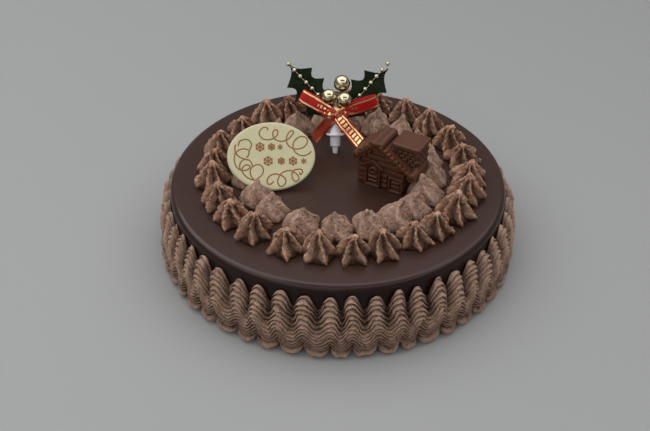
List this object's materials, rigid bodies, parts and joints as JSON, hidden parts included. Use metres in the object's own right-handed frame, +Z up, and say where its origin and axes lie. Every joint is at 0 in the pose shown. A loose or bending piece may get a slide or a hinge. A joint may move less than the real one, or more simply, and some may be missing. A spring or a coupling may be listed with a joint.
{
  "type": "chocolate cake",
  "caption": "Round glazed chocolate cake with a ribbed cream wave round its side, piped cream rings on top, a white chocolate plaque, a small chocolate house and a holly pick.",
  "frame": {"origin": "centre of the flat base, on the surface the cake rests on", "axes": "+Z up; -Y is the front, the side that the plaque faces; +X is to the right seen from the front"},
  "size_m": [0.1648, 0.1644, 0.0706],
  "materials": {
    "glaze": "satin dark chocolate glaze",
    "cream": "piped chocolate cream",
    "soft_cream": "piped chocolate cream with fine pores",
    "white_chocolate": "ivory white chocolate with thin brown scrolls",
    "milk_chocolate": "moulded milk chocolate",
    "white_peg": "white plastic",
    "holly_leaf": "dark green satin leaf",
    "gold_bead": "pearly gold",
    "gold_ball": "polished pale gold",
    "ribbon": "red satin with gold stripes"
  },
  "bodies": {
    "root": {"glazed_cake": "glaze", "wave_border": "cream", "star_01": "cream", "star_02": "cream", "star_03": "cream", "star_04": "cream", "star_05": "cream", "star_06": "cream", "star_07": "cream", "star_08": "cream", "star_09": "cream", "star_10": "cream", "star_11": "cream", "star_12": "cream", "star_13": "cream", "star_14": "cream", "star_15": "cream", "star_16": "cream", "star_17": "cream", "star_18": "cream", "star_19": "cream", "star_20": "cream", "star_21": "cream", "star_22": "cream", "star_23": "cream", "star_24": "cream", "star_25": "cream", "dollop_01": "soft_cream", "dollop_02": "soft_cream", "dollop_03": "soft_cream", "dollop_04": "soft_cream", "dollop_05": "soft_cream", "dollop_06": "soft_cream", "dollop_07": "soft_cream", "dollop_08": "soft_cream", "dollop_09": "soft_cream", "dollop_10": "soft_cream", "dollop_11": "soft_cream", "dollop_12": "soft_cream", "dollop_13": "soft_cream", "dollop_14": "soft_cream", "dollop_15": "soft_cream", "dollop_16": "soft_cream", "dollop_17": "soft_cream", "dollop_18": "soft_cream", "dollop_19": "soft_cream", "dollop_20": "soft_cream", "plaque": "white_chocolate", "house": "milk_chocolate", "pick": "white_peg", "leaf_left": "holly_leaf", "leaf_right": "holly_leaf", "beads_left": "gold_bead", "beads_right": "gold_bead", "ball_top": "gold_ball", "ball_left": "gold_ball", "ball_right": "gold_ball", "ribbon_bow": "ribbon"}
  },
  "joints": []
}
